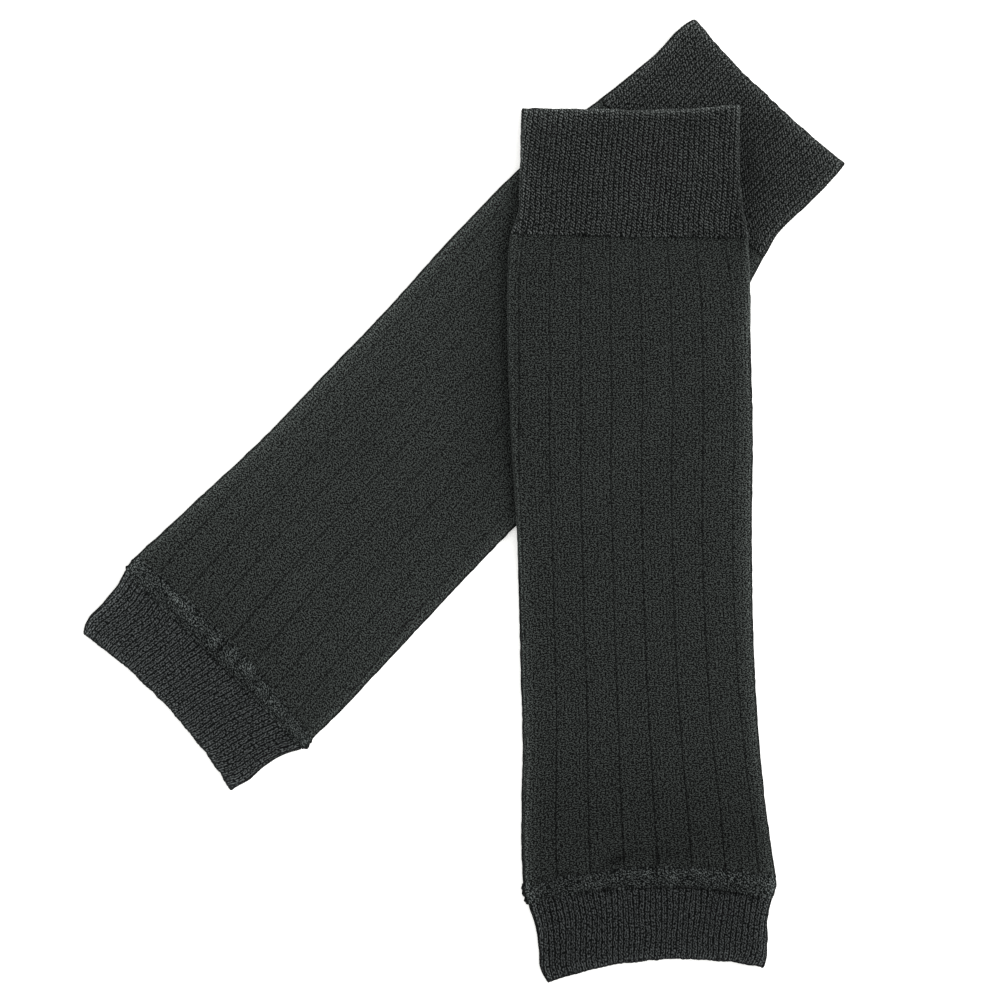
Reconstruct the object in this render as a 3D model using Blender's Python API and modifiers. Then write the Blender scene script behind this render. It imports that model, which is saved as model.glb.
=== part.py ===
"""Pair of ribbed knit leg warmers lying flat, the front one across the back one.

Each leg warmer is four open, flattened tubes in a row: a turned top cuff, the leg, the roll of
the ankle seam and the ankle cuff. A tube is a loft of rings with Solidify for the cloth. Its
rings bend across the leg warmer as the hem, the seam and the top edge do, and its sides follow
the outline table. The front one rests on the floor and climbs over the back one.

The tables are in millimetres, in each leg warmer's own frame: along from the middle of the hem
to the top, across to the right, up from the floor. Blender gets metres, +Z up.
"""

import math
from collections import namedtuple

import bmesh
import bpy
import numpy as np

MM = 0.001
COLLECTION_NAME = "Pair of leg warmers"

# ---------------------------------------------------------------- driving dimensions (mm)
SEWN_GAP = 0.3  # between neighbouring pieces of one leg warmer
LYING_GAP = 0.45  # between the front one's underside and the back one
SLIT = 0.6  # room left between the two flattened layers of a tube

LEG_WALL = 1.3
TOP_CUFF_WALL = 1.8  # double, because the welt is turned down inside
ANKLE_CUFF_WALL = 1.5
SEAM_WALL = 1.5
SEAM_PROUD = 1.4  # how far the roll stands above the leg
SEAM_SWELL = 0.4  # how far it stands out at each side

RAMP_RUN = 18.0  # the front one climbs within this distance of the back one's side
RAMP_LEAD = 2.5  # and is at full height this far before it
CUFF_RUN = 12.0  # run of the climb from the back one's leg to its thicker cuff

# A line across a leg warmer: its place along the axis at mid-width, how much further along
# its right end lies because it is tilted, and how much further both ends lie because it bows.
Line = namedtuple("Line", "at tilt bow")

# A row of an outline: the two sides' places across, at one place along.
Row = namedtuple("Row", "along left right")

LegWarmer = namedtuple(
    "LegWarmer", "name lean_deg hem_centre hem seam_low seam_high cuff_join top outline"
)

FRONT = LegWarmer(
    name="front",
    lean_deg=1.8,
    hem_centre=(83.6, -203.8),
    hem=Line(at=6.1, tilt=1.7, bow=-6.4),
    seam_low=Line(at=37.7, tilt=-0.6, bow=-5.8),
    seam_high=Line(at=46.0, tilt=0.2, bow=-6.0),
    cuff_join=Line(at=317.6, tilt=-2.6, bow=0.5),
    top=Line(at=371.8, tilt=-1.1, bow=1.7),
    outline=(
        Row(along=-2, left=-46.6, right=43.0),
        Row(along=2, left=-49.5, right=45.6),
        Row(along=12, left=-50.7, right=48.0),
        Row(along=22, left=-51.9, right=48.5),
        Row(along=30, left=-54.2, right=50.3),
        Row(along=37, left=-56.2, right=52.4),
        Row(along=50, left=-56.9, right=51.3),
        Row(along=75, left=-56.2, right=48.8),
        Row(along=100, left=-55.0, right=47.2),
        Row(along=135, left=-54.8, right=46.2),
        Row(along=190, left=-54.6, right=47.0),
        Row(along=230, left=-55.7, right=48.6),
        Row(along=270, left=-55.3, right=48.9),
        Row(along=308, left=-54.0, right=48.4),
        Row(along=319, left=-53.0, right=47.6),
        Row(along=328, left=-50.2, right=46.5),
        Row(along=345, left=-48.7, right=46.1),
        Row(along=374, left=-46.9, right=47.1),
    ),
)

BACK = LegWarmer(
    name="back",
    lean_deg=-44.7,
    hem_centre=(-130.5, -89.0),
    hem=Line(at=2.6, tilt=-1.5, bow=-4.2),
    seam_low=Line(at=33.4, tilt=-0.9, bow=-3.6),
    seam_high=Line(at=41.5, tilt=-1.4, bow=-3.9),
    cuff_join=Line(at=320.0, tilt=0.5, bow=0.5),
    top=Line(at=370.3, tilt=0.6, bow=2.2),
    outline=(
        Row(along=-3, left=-44.0, right=46.6),
        Row(along=3, left=-48.0, right=48.5),
        Row(along=14, left=-49.2, right=50.1),
        Row(along=23, left=-49.9, right=52.3),
        Row(along=31, left=-51.8, right=56.3),
        Row(along=39, left=-53.1, right=56.4),
        Row(along=52, left=-52.5, right=56.7),
        Row(along=75, left=-51.7, right=56.1),
        Row(along=110, left=-50.2, right=55.1),
        Row(along=150, left=-50.6, right=54.2),
        Row(along=190, left=-51.2, right=54.0),
        Row(along=225, left=-52.9, right=53.8),
        Row(along=270, left=-53.4, right=53.5),
        Row(along=306, left=-51.7, right=52.7),
        Row(along=320, left=-49.5, right=48.9),
        Row(along=331, left=-47.3, right=46.1),
        Row(along=350, left=-46.4, right=46.1),
        Row(along=369, left=-46.1, right=45.8),
        Row(along=373, left=-44.6, right=44.4),
    ),
)

# ---------------------------------------------------------------- how finely the cloth is made
FRONT_FLAT_POINTS = 15  # points across each flat layer
BACK_FLAT_POINTS = 12
FOLD_ANGLES = (-45, 0, 45)  # degrees round each side fold, from the under to the upper layer
HEM_SHARES = (0.0, 0.05, 0.16, 0.4, 0.62, 0.82, 1.0)  # rings of an ankle cuff, from its hem up
CUT_END = 0.8  # the last stretch of a tube, which runs straight so that its end is square
COARSE_STEP = 20.0  # ring spacing where the cloth lies flat
FINE_STEP = 6.0  # and where it climbs over the back one
RAMP_FOOT = 158.0  # the front one's leg lies on the floor up to here, measured along it

# The roll of the ankle seam: height as a share of SEAM_PROUD, at shares of the roll's breadth.
RollRow = namedtuple("RollRow", "share height")
SEAM_ROLL = (
    RollRow(share=0.0, height=0.35),
    RollRow(share=0.14, height=0.75),
    RollRow(share=0.36, height=1.0),
    RollRow(share=0.64, height=1.0),
    RollRow(share=0.86, height=0.75),
    RollRow(share=1.0, height=0.35),
)

# ---------------------------------------------------------------- finish
# Charcoal yarn, scene-linear.
YARN_COLORS = {
    "top_cuff": (0.024, 0.026, 0.026, 1.0),
    "leg": (0.024, 0.026, 0.025, 1.0),
    "ankle_seam": (0.027, 0.029, 0.029, 1.0),
    "ankle_cuff": (0.022, 0.024, 0.024, 1.0),
}
YARN_ROUGHNESS = 0.9


# ---------------------------------------------------------------- outline and height
def smooth_table(rows, column, along):
    """A table's column at a place along, by a cubic through its rows with centred slopes."""
    places = [row.along for row in rows]
    values = [getattr(row, column) for row in rows]
    slopes = np.gradient(values, places)
    place = min(max(along, places[0]), places[-1])
    low = min(int(np.searchsorted(places, place, side="right")) - 1, len(rows) - 2)
    span = places[low + 1] - places[low]
    t = (place - places[low]) / span
    rise = t * t * (3 - 2 * t)
    return (
        values[low] * (1 - rise)
        + values[low + 1] * rise
        + span * slopes[low] * t * (1 - t) ** 2
        - span * slopes[low + 1] * t * t * (1 - t)
    )


def smoothstep(share):
    """Rise from 0 to 1 with level ends."""
    t = min(max(share, 0.0), 1.0)
    return t * t * (3 - 2 * t)


def between(low, high, share):
    """The line at a share of the way from one line to another."""
    return Line(*(a + (b - a) * share for a, b in zip(low, high)))


def above(line, gap=SEWN_GAP / 2):
    """Where the rings of the piece that starts at a line begin."""
    return line._replace(at=line.at + gap + CUT_END)


def below(line, gap=SEWN_GAP / 2):
    """Where the rings of the piece that ends at a line stop."""
    return line._replace(at=line.at - gap - CUT_END)


def flat_height(wall):
    """Height of a flattened tube: two layers and the slit between them."""
    return 2 * wall + SLIT


def to_floor(warmer, across, along):
    """A point of a leg warmer's frame as a place on the floor."""
    lean = math.radians(warmer.lean_deg)
    return (
        warmer.hem_centre[0] + across * math.cos(lean) - along * math.sin(lean),
        warmer.hem_centre[1] + across * math.sin(lean) + along * math.cos(lean),
    )


def from_floor(warmer, x, y):
    """A place on the floor as a point (across, along) of a leg warmer's frame."""
    lean = math.radians(warmer.lean_deg)
    x_from_hem = x - warmer.hem_centre[0]
    y_from_hem = y - warmer.hem_centre[1]
    return (
        x_from_hem * math.cos(lean) + y_from_hem * math.sin(lean),
        y_from_hem * math.cos(lean) - x_from_hem * math.sin(lean),
    )


def height_over_back(across, along):
    """How far the front one's underside is lifted at a point of its own frame."""
    back_across, back_along = from_floor(BACK, *to_floor(FRONT, across, along))
    inside = min(
        back_across - smooth_table(BACK.outline, "left", back_along),
        smooth_table(BACK.outline, "right", back_along) - back_across,
    )
    climb = smoothstep((inside + RAMP_LEAD + RAMP_RUN) / RAMP_RUN)
    cuff_share = smoothstep((back_along - BACK.cuff_join.at + CUFF_RUN + RAMP_LEAD) / CUFF_RUN)
    leg_height = flat_height(LEG_WALL)
    cuff_rise = flat_height(TOP_CUFF_WALL) - leg_height
    return climb * (leg_height + cuff_rise * cuff_share + LYING_GAP)


def height_on_floor(across, along):
    """The back one lies on the floor all over."""
    return 0.0


# ---------------------------------------------------------------- rings and tubes
def ring(warmer, line, height, swell, flat_points, lift):
    """One ring of a flattened tube: under layer, right fold, upper layer, left fold."""
    left = smooth_table(warmer.outline, "left", line.at - line.tilt + line.bow) - swell
    right = smooth_table(warmer.outline, "right", line.at + line.tilt + line.bow) + swell
    middle = (left + right) / 2
    half_width = (right - left) / 2
    fold = height / 2
    flat = np.linspace(left + fold, right - fold, flat_points)
    turns = [(fold * math.cos(math.radians(a)), fold * math.sin(math.radians(a))) for a in FOLD_ANGLES]
    outline = [(across, 0.0) for across in flat]
    outline += [(right - fold + out, fold + up) for out, up in turns]
    outline += [(across, height) for across in reversed(flat)]
    outline += [(left + fold - out, fold + up) for out, up in reversed(turns)]
    points = []
    for across, up in outline:
        share = (across - middle) / half_width
        along = line.at + line.tilt * share + line.bow * share * share
        points.append((across * MM, along * MM, (up + lift(across, along)) * MM))
    return points


def yarn_material(name, color):
    """Matt knitted yarn."""
    material = bpy.data.materials.new(name)
    material.use_nodes = True
    shader = material.node_tree.nodes["Principled BSDF"]
    shader.inputs["Base Color"].default_value = color
    shader.inputs["Roughness"].default_value = YARN_ROUGHNESS
    shader.inputs["Metallic"].default_value = 0.0
    material.diffuse_color = color
    return material


def square_ended(rings):
    """The rings with a copy of the first and the last, so that the tube runs straight there."""
    low = [(across, along - CUT_END * MM, up) for across, along, up in rings[0]]
    high = [(across, along + CUT_END * MM, up) for across, along, up in rings[-1]]
    return [low, *rings, high]


def tube(warmer, piece, rings, wall, parent, collection):
    """An open tube of cloth lofted through rings, its wall grown inwards."""
    name = f"{warmer.name}_{piece}"
    mesh = bpy.data.meshes.new(name)
    loft = bmesh.new()
    loops = [[loft.verts.new(point) for point in points] for points in square_ended(rings)]
    count = len(loops[0])
    for lower, upper in zip(loops, loops[1:]):
        for i in range(count):
            after = (i + 1) % count
            loft.faces.new((lower[i], upper[i], upper[after], lower[after]))
    loft.to_mesh(mesh)
    loft.free()
    mesh.materials.append(yarn_material(f"{name}_yarn", YARN_COLORS[piece]))
    mesh.shade_smooth()
    mesh.set_sharp_from_angle(angle=math.radians(60))

    cloth = bpy.data.objects.new(name, mesh)
    collection.objects.link(cloth)
    cloth.parent = parent
    solidify = cloth.modifiers.new("Cloth", "SOLIDIFY")
    solidify.thickness = wall * MM
    solidify.offset = -1.0
    solidify.use_even_offset = True
    solidify.use_quality_normals = True
    return cloth


def evenly(low, high, step):
    """Lines from low to high, about one step apart."""
    count = max(1, round((high.at - low.at) / step))
    return [between(low, high, i / count) for i in range(count + 1)]


def leg_lines(warmer, step_at_ramp):
    """The rings of a leg: coarse where it lies on the floor, finer where it climbs."""
    low = above(warmer.seam_high)
    high = below(warmer.cuff_join)
    foot = between(low, high, (RAMP_FOOT - low.at) / (high.at - low.at))
    return evenly(low, foot, COARSE_STEP)[:-1] + evenly(foot, high, step_at_ramp)


# ---------------------------------------------------------------- the leg warmers
def build_leg_warmer(warmer, flat_points, step_at_ramp, lift, collection):
    """Build one leg warmer's four tubes under an empty at the middle of its hem."""
    pivot = bpy.data.objects.new(f"{warmer.name}_leg_warmer", None)
    collection.objects.link(pivot)
    pivot.empty_display_size = 20 * MM
    pivot.location = (warmer.hem_centre[0] * MM, warmer.hem_centre[1] * MM, 0.0)
    pivot.rotation_euler.z = math.radians(warmer.lean_deg)

    def rings_at(lines, wall):
        height = flat_height(wall)
        return [ring(warmer, line, height, 0.0, flat_points, lift) for line in lines]

    hem = above(warmer.hem, gap=0.0)
    hem_lines = [between(hem, below(warmer.seam_low), share) for share in HEM_SHARES]
    tube(warmer, "ankle_cuff", rings_at(hem_lines, ANKLE_CUFF_WALL), ANKLE_CUFF_WALL, pivot, collection)

    roll_rings = [
        ring(
            warmer,
            between(above(warmer.seam_low), below(warmer.seam_high), row.share),
            flat_height(LEG_WALL) + SEAM_PROUD * row.height,
            SEAM_SWELL * row.height,
            flat_points,
            lift,
        )
        for row in SEAM_ROLL
    ]
    tube(warmer, "ankle_seam", roll_rings, SEAM_WALL, pivot, collection)

    leg_rings = rings_at(leg_lines(warmer, step_at_ramp), LEG_WALL)
    tube(warmer, "leg", leg_rings, LEG_WALL, pivot, collection)

    welt_step = min(step_at_ramp, COARSE_STEP / 2)
    welt_lines = evenly(above(warmer.cuff_join), below(warmer.top, gap=0.0), welt_step)
    tube(warmer, "top_cuff", rings_at(welt_lines, TOP_CUFF_WALL), TOP_CUFF_WALL, pivot, collection)


def main():
    for scene_object in list(bpy.data.objects):
        bpy.data.objects.remove(scene_object, do_unlink=True)
    collection = bpy.data.collections.new(COLLECTION_NAME)
    bpy.context.scene.collection.children.link(collection)
    build_leg_warmer(BACK, BACK_FLAT_POINTS, COARSE_STEP, height_on_floor, collection)
    build_leg_warmer(FRONT, FRONT_FLAT_POINTS, FINE_STEP, height_over_back, collection)


main()
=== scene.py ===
"""A pair of charcoal ribbed leg warmers lying flat, the front one across the back one.

Each leg warmer is four flattened tubes of knitted cloth in a row: a turned top cuff, the leg, the
roll of the ankle seam and the ankle cuff. A tube's mesh is a grid that follows the knit. Its
columns run along the wales and its rows run round the tube, so ribs, sunk wales and loops stand up
where the needles made them.

Sizes are in millimetres in each leg warmer's own frame: along from the middle of the hem to the
top, across to the right, and up from the floor. The meshes are in metres.
"""

import logging
import math
from dataclasses import dataclass
from enum import Enum
from functools import partial
from typing import Any, Callable, ClassVar, Mapping, Self

import bpy
import numpy as np
from numpy.typing import NDArray
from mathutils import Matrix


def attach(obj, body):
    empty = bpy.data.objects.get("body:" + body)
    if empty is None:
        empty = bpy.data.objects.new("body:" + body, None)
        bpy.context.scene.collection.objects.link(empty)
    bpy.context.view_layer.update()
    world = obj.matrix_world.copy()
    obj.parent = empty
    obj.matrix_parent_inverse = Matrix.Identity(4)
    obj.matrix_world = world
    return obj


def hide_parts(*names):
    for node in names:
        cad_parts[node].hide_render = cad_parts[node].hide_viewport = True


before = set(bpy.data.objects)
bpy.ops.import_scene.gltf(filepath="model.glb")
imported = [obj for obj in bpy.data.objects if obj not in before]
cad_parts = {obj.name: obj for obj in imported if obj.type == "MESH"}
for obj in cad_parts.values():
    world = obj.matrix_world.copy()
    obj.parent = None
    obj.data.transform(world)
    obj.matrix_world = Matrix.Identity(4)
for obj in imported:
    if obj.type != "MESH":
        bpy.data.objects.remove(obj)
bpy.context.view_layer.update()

Floats = NDArray[np.float64]
Colour = tuple[float, float, float, float]
Row = tuple[float, ...]
Socket = bpy.types.NodeSocket
Maker = Callable[..., Socket]
LOG = logging.getLogger("leg_warmers")

MM = 0.001
HALF = 0.5
BODY = "root"
FLOOR_NAME = "floor"

SEWN_GAP = 0.2  # between neighbouring tubes of one leg warmer
LYING_GAP = 0.45  # between the front one's underside and the back one
SLIT = 0.6  # room between the two flattened layers of a tube


# ---------------------------------------------------------------- small helpers
def linear(hex_colour: str, tone: float = 1.0) -> Colour:
    """Turn an sRGB hex colour into scene-linear.

    Args:
        hex_colour: Six hex digits with a leading #.
        tone: How light it is made beside that.

    Returns:
        Red, green, blue and an alpha of 1.
    """
    parts = [int(hex_colour[i : i + 2], 16) / 255 for i in (1, 3, 5)]
    red, green, blue = (p / 12.92 if p <= 0.04045 else ((p + 0.055) / 1.055) ** 2.4 for p in parts)
    return red * tone, green * tone, blue * tone, 1.0


def feed(node: bpy.types.Node, inputs: Mapping[Any, Any]) -> None:
    """Set a node's inputs, or link those that are given a socket.

    Args:
        node: The node.
        inputs: Values or sockets for its inputs, by name or number.
    """
    for name, value in inputs.items():
        if isinstance(value, Socket):
            node.id_data.links.new(value, node.inputs[name])
        else:
            node.inputs[name].default_value = value


def add_node(
    tree: bpy.types.NodeTree,
    kind: str,
    inputs: Mapping[Any, Any] | None = None,
    out: int | str = 0,
    **settings: Any,
) -> Socket:
    """Add a node with its settings and links.

    Args:
        tree: The node tree that the node joins.
        kind: Blender's name for the kind of node, without its first word.
        inputs: Values or sockets for its inputs, by name or number.
        out: Name or number of the output to hand back.
        **settings: Properties of the node.

    Returns:
        That output of the new node.
    """
    node = tree.nodes.new(f"ShaderNode{kind}")
    for name, value in settings.items():
        setattr(node, name, value)
    feed(node, inputs or {})
    return node.outputs[out]


def rise(share: Floats) -> Floats:
    """Rise from 0 to 1 with level ends, for a share that may run past either."""
    t = np.clip(share, 0.0, 1.0)
    return t * t * (3 - 2 * t)


def through_rows(places: Floats, values: Floats, at: Floats) -> Floats:
    """Read a table between its rows, on a cubic with centred slopes.

    Args:
        places: Where the rows are, rising.
        values: The column's value in each row.
        at: Where to read it. Past either end the end row holds.

    Returns:
        The values at those places.
    """
    slopes = np.gradient(values, places)
    place = np.clip(at, places[0], places[-1])
    low = np.clip(np.searchsorted(places, place, side="right") - 1, 0, len(places) - 2)
    span = places[low + 1] - places[low]
    t = (place - places[low]) / span
    bend = slopes[low] * t * (1 - t) ** 2 - slopes[low + 1] * t * t * (1 - t)
    return values[low] * (1 - rise(t)) + values[low + 1] * rise(t) + span * bend


@dataclass(frozen=True)
class Unevenness:
    """Soft chance variation over a tube, the same on every run.

    Attributes:
        seed: Seed of the variation, beyond the seed of what it varies.
        wales: Size of a patch round the tube, in wales.
        courses: Size of a patch along the tube, in courses.
        amount: How far it varies each way.
    """

    seed: int
    wales: float
    courses: float
    amount: float = 1.0

    MARGIN: ClassVar[int] = 2  # patches below the first course, for rims that reach past it

    def at(self, wale: Floats, course: Floats, wales_round: float, seed: int = 0) -> Floats:
        """Read the variation.

        Args:
            wale: Places round the tube, in wales.
            course: Places along the tube, in courses.
            wales_round: Wales all round, after which it repeats.
            seed: Seed of what it varies.

        Returns:
            Values up to the amount each way.
        """
        cells = max(2, round(wales_round / self.wales))
        a = wale / wales_round * cells
        b = np.clip(course / self.courses + self.MARGIN, 0, None)
        chance = np.random.default_rng(seed + self.seed)
        grid = chance.uniform(-1, 1, (int(b.max()) + self.MARGIN + 1, cells))
        column, row = np.floor(a).astype(int), np.floor(b).astype(int)
        right, up = rise(a - column), rise(b - row)
        here, after = column % cells, (column + 1) % cells
        low = grid[row, here] * (1 - right) + grid[row, after] * right
        high = grid[row + 1, here] * (1 - right) + grid[row + 1, after] * right
        return self.amount * (low * (1 - up) + high * up)


# ---------------------------------------------------------------- a leg warmer's lines
class Layer(Enum):
    """Which of a flattened tube's two layers a spot is in."""

    UPPER = 1
    UNDER = -1


class OpenEnd(Enum):
    """Which end of a tube is open rather than sewn to the next one."""

    NONE = "sewn at both ends"
    LOW = "its lower end"
    HIGH = "its upper end"


@dataclass(frozen=True)
class CrossLine:
    """A line across a leg warmer.

    Attributes:
        at: Its place along the axis at mid-width.
        tilt: How much further along its right end lies because it is tilted.
        bow: How much further along both ends lie because it bows.
    """

    at: float
    tilt: float
    bow: float


class Profile:
    """Two measures that change along a leg warmer."""

    def __init__(self, *rows: Row) -> None:
        """Take rows of where along the leg warmer, the one measure and the other."""
        self.places, self.one, self.other = np.array(rows).T

    def at(self, one_at: Floats, other_at: Floats) -> tuple[Floats, Floats]:
        """Read both measures, each at its own places along the leg warmer."""
        one = through_rows(self.places, self.one, one_at)
        return one, through_rows(self.places, self.other, other_at)


@dataclass(frozen=True)
class Stroke:
    """A soft long spot on one layer of the cloth, which bows as the lines across it do.

    Attributes:
        along: Its middle along the leg warmer, as read at mid-width.
        across: Its middle across.
        turn: Degrees from the leg warmer's axis to its length, clockwise.
        length: Half its length.
        breadth: Half its breadth.
        amount: How strong it is.
        layer: The layer that it is in.
    """

    along: float
    across: float
    turn: float
    length: float
    breadth: float
    amount: float
    layer: Layer = Layer.UPPER

    FADE: ClassVar[float] = 2.0  # how fast it fades where the cloth turns away over a side fold

    @classmethod
    def several(cls, *rows: Row, layer: Layer = Layer.UPPER) -> tuple[Self, ...]:
        """Make one from each row of along, across, turn, length, breadth and amount."""
        return tuple(cls(*row, layer) for row in rows)

    def spread(self, across: Floats, along: Floats, facing_up: Floats) -> Floats:
        """Spread the amount over the cloth.

        Args:
            across: Places across.
            along: Places along.
            facing_up: 1 where the cloth faces up, -1 where it faces down.

        Returns:
            The amount at each place.
        """
        turn = math.radians(self.turn)
        right, on = across - self.across, along - self.along
        down_it = right * math.sin(turn) + on * math.cos(turn)
        over_it = right * math.cos(turn) - on * math.sin(turn)
        share = np.exp(-((down_it / self.length) ** 2) - (over_it / self.breadth) ** 2)
        return self.amount * share * np.clip(self.FADE * self.layer.value * facing_up, 0, 1)


class Crease(Stroke):
    """A trough pressed into the cloth, or a ridge where its depth in millimetres is negative."""

    def press(self, across: Floats, along: Floats, facing_up: Floats) -> Floats:
        """Work out how far the cloth is moved upwards: the under layer's trough goes up."""
        return -self.layer.value * self.spread(across, along, facing_up)


class PaintedShade(Stroke):
    """A spot of painted light, or of painted shade or shadow where its amount is negative."""


class Sag(Stroke):
    """A place where an open end sags towards the other one, by its amount in millimetres."""


# ---------------------------------------------------------------- how the cloth is knitted
@dataclass(frozen=True)
class Knit:
    """Cloth that a circular machine knits, measured in its own wales and courses.

    Attributes:
        wales: Wales, or ribs, all round.
        wale_mm: Breadth of a wale.
        course_mm: Height of a course.
        rows_per_course: Rows of the mesh in each course.
        sway: How far a wale wanders sideways, in wales.
        groove: Depth between wales side by side.
        loop: Depth between a loop and the next of its wale.
        seed: Seed of its unevenness.
    """

    wales: int
    wale_mm: float
    course_mm: float
    rows_per_course: float
    sway: float
    groove: float
    loop: float
    seed: int

    ACROSS: ClassVar[Floats] = np.array([0.0])  # the mesh's columns on a wale, from its middle

    def stations(self) -> Floats:
        """Places of the mesh's columns round the tube, in wales."""
        return (np.arange(self.wales)[:, None] + self.ACROSS).ravel()

    def lay(self, wale: Floats) -> Floats:
        """Where wales lie round the tube, counted as if all were as broad."""
        return wale

    def relief(self, wale: Floats, course: Floats) -> Floats:
        """How far the face stands out at places of the knit, which is mostly below nought."""
        raise NotImplementedError


class RibKnit(Knit):
    """1x1 rib: a raised wale and a sunk one in turn, so each rib stands as a cord of loops."""

    ACROSS = np.array([-1 / 2, -1 / 3, -1 / 6, 0, 1 / 6, 1 / 3])
    ROUNDNESS: ClassVar[float] = 2.2
    GROOVES: ClassVar[Unevenness] = Unevenness(0, 1.0, 5.0, 0.3)
    LOOPS: ClassVar[Unevenness] = Unevenness(1, 1.0, 1.0, 0.6)
    SIDE_DIP: ClassVar[float] = 0.4  # how much shallower the dip between loops is at a cord's sides

    def relief(self, wale: Floats, course: Floats) -> Floats:
        """Round cords with a dip between loops."""
        side = np.abs(2 * (wale - np.round(wale))) ** self.ROUNDNESS
        depth = self.groove * (1 + self.GROOVES.at(wale, course, self.wales, self.seed))
        size = 1 + self.LOOPS.at(wale, course, self.wales, self.seed)
        dip = HALF - HALF * np.cos(2 * math.pi * course)
        return -depth * side - self.loop * size * dip * (1 - self.SIDE_DIP * side)


@dataclass(frozen=True)
class SunkWaleKnit(Knit):
    """Plain knit with one purl wale in nine, which sinks to a thin channel.

    Attributes:
        repeat: Wales in a repeat, the sunk one among them.
        narrow: Breadth of the sunk one, as a share of what it would be if all were as broad.
        channel: Depth of the sunk wale.
        channel_breadth: Half its breadth, in wales.
    """

    repeat: int
    narrow: float
    channel: float
    channel_breadth: float

    SUNK: ClassVar[Floats] = np.array([-0.5, -0.25, 0.0, 0.25, 0.5])  # columns on a sunk wale
    FACE: ClassVar[Floats] = np.array([-0.17, 0.17, 0.5])  # and on a plain one
    CHANNELS: ClassVar[Unevenness] = Unevenness(0, 3.0, 7.0, 0.25)
    LOOPS: ClassVar[Unevenness] = Unevenness(1, 1.0, 1.7)

    def stations(self) -> Floats:
        """Five columns over each sunk wale, and three to each plain one."""
        face = (np.arange(1, self.repeat)[:, None] + self.FACE).ravel()[:-1]
        one = np.concatenate([self.SUNK, face])
        return (np.arange(0, self.wales, self.repeat)[:, None] + one).ravel()

    def lay(self, wale: Floats) -> Floats:
        """Squeeze each sunk wale and spread the others over the room that it leaves."""
        middle = self.repeat * np.round(wale / self.repeat)
        off = np.abs(wale - middle)
        beside = self.narrow / 2 + (off - HALF) * (self.repeat - self.narrow) / (self.repeat - 1)
        return middle + np.sign(wale - middle) * np.where(off < HALF, off * self.narrow, beside)

    def relief(self, wale: Floats, course: Floats) -> Floats:
        """A thin channel on each sunk wale, and a shallow groove each side of the others."""
        off_sunk = wale - self.repeat * np.round(wale / self.repeat)
        depth = self.channel * (1 + self.CHANNELS.at(wale, course, self.wales, self.seed))
        sunk = depth * np.exp(-((off_sunk / self.channel_breadth) ** 2))
        side = (2 * (wale - np.round(wale))) ** 2
        loops = self.LOOPS.at(wale, course, self.wales, self.seed)
        return -sunk - self.groove * side + self.loop * (loops - 1)


@dataclass(frozen=True)
class LoopRoll(Knit):
    """The loops of a linked seam, which roll up into soft lumps.

    Attributes:
        lumps: Its lumps, as rows of where their middles are in wales and in courses, half their
            length in wales, half their breadth in courses, and their height.
    """

    lumps: tuple[Row, ...]

    ACROSS = np.array([-1 / 2, -1 / 4, 0, 1 / 4])
    SIZES: ClassVar[Unevenness] = Unevenness(0, 1.0, 1.0, 0.7)
    WAVES: ClassVar[Unevenness] = Unevenness(1, 3.0, 2.0, 0.25)
    LOOPS: ClassVar[Unevenness] = Unevenness(2, 0.9, 0.9)

    def relief(self, wale: Floats, course: Floats) -> Floats:
        """Small round loops on top of the lumps."""
        half_round = self.wales / 2
        height = np.zeros_like(wale * course)
        for at_wale, at_course, length, breadth, high in self.lumps:
            right = (wale - at_wale + half_round) % self.wales - half_round
            up = (course - at_course) / breadth
            height = height + high * np.exp(-((right / length) ** 4) - up**2)
        size = 1 + self.SIZES.at(wale, course, self.wales, self.seed)
        loops = self.loop * (self.LOOPS.at(wale, course, self.wales, self.seed) - 1)
        wave = self.WAVES.at(wale, course, self.wales, self.seed)
        return height + wave - self.groove * (2 * (wale - np.round(wale))) ** 2 * size + loops


# ---------------------------------------------------------------- tubes of cloth
@dataclass(frozen=True)
class Rows:
    """The rows of a tube's mesh, up its face, over its top rim, down inside and under its hem.

    Attributes:
        place: Distance of each row from the tube's lower line.
        depth: Its depth below the face.
        turn: Degrees that its surface has turned from the face, forward over the top rim.
        lip: How far it is drawn out over the next tube.
    """

    place: Floats
    depth: Floats
    turn: Floats
    lip: Floats


@dataclass(frozen=True)
class Rim:
    """How an end of a tube is rounded.

    Attributes:
        radius: Radius of the rounding.
        points: Rows of the mesh in each quarter turn.
        lip: How far its edge laps over the next tube, above it.
    """

    radius: float
    points: int
    lip: float = 0.0

    CORNER: ClassVar[float] = 135.0  # degrees that the inner corner under a lip faces

    def rows(self, wall: float) -> tuple[Floats, Floats, Floats, Floats]:
        """Work out the rows from the face round to the inside.

        Args:
            wall: Thickness of the cloth.

        Returns:
            How far each row falls short of the end, its depth, its turn in degrees and its lip.
        """
        quarter = np.linspace(0, 90, self.points + 1)[1:]
        turn = np.concatenate([quarter, 180 - quarter[::-1]])
        angle = np.radians(turn)
        short = self.radius * (1 - np.sin(angle))
        if self.lip:
            # The lip is a thin edge, and behind it the wall goes straight down to the inside.
            behind = 2 * self.radius
            short = np.append(short, [behind, behind])
            depth = np.append(self.radius * (1 - np.cos(angle)), [behind, wall])
            lip = np.append(np.full(len(angle), self.lip), [0.0, 0.0])
            return short, depth, np.append(turn, [180.0, self.CORNER]), lip
        centre = np.where(np.arange(len(turn)) < self.points, self.radius, wall - self.radius)
        return short, centre - self.radius * np.cos(angle), turn, 0 * angle


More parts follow.
